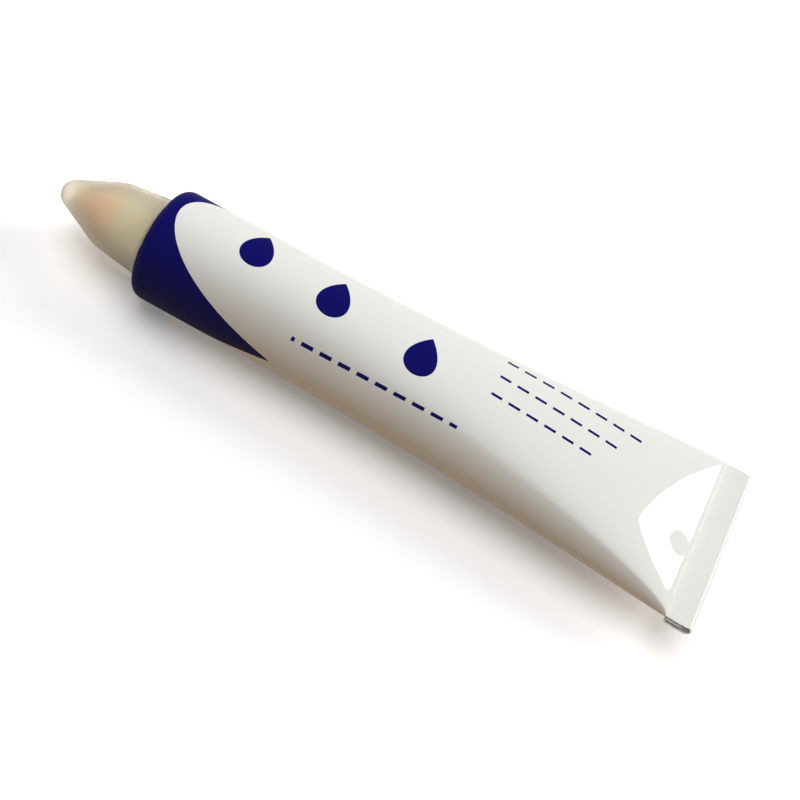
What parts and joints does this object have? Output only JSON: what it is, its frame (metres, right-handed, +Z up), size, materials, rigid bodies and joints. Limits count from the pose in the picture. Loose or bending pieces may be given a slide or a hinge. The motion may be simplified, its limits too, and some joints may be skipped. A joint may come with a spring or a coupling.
{
  "type": "fabric marker",
  "caption": "Squeeze-tube fabric marker: a collapsible metal paint tube with a folded tail, a sprung ball tip on its threaded neck, and a translucent push-on cap.",
  "frame": {"origin": "under the middle of the whole marker, on the surface that the tube lies on", "axes": "+X along the tube from its cap to its folded tail, +Z up out of the tail's flat side, +Y across the tail"},
  "size_m": [0.1572, 0.0392, 0.025],
  "materials": {
    "tube_enamel": "gloss",
    "sealing_latex": "matte",
    "textile_paint": "gloss",
    "gasket_rubber": "matte",
    "holder_plastic": "satin",
    "turned_brass": "satin",
    "spring_steel": "satin",
    "ball_steel": "polished",
    "cap_plastic": "satin",
    "pad_foam": "matte"
  },
  "bodies": {
    "tube": {"tube_shell": "tube_enamel", "end_seal": "sealing_latex", "paint_fill": "textile_paint", "neck_gasket": "gasket_rubber", "tip_holder": "holder_plastic", "tip_housing": "turned_brass", "spring_retainer": "turned_brass", "valve_spring": "spring_steel"},
    "plunger": {"ball_plunger": "turned_brass"},
    "ball": {"writing_ball": "ball_steel"},
    "cap": {"cap_shell": "cap_plastic", "cap_pad": "pad_foam"}
  },
  "joints": [
    {"name": "cap_pull", "type": "slide", "parent": "tube", "child": "cap", "axis": [-1, 0, 0], "range_m": [0, 0.03]},
    {"name": "ball_press", "type": "slide", "parent": "tube", "child": "plunger", "axis": [1, 0, 0], "range_m": [0, 0.0004], "stiffness_N_per_m": 300, "springref_m": -0.003, "deforming": ["valve_spring"]},
    {"name": "ball_roll", "type": "hinge", "parent": "plunger", "child": "ball", "pos_m": [-0.07295, 0, 0.0125], "axis": [0, 1, 0], "continuous": true}
  ]
}
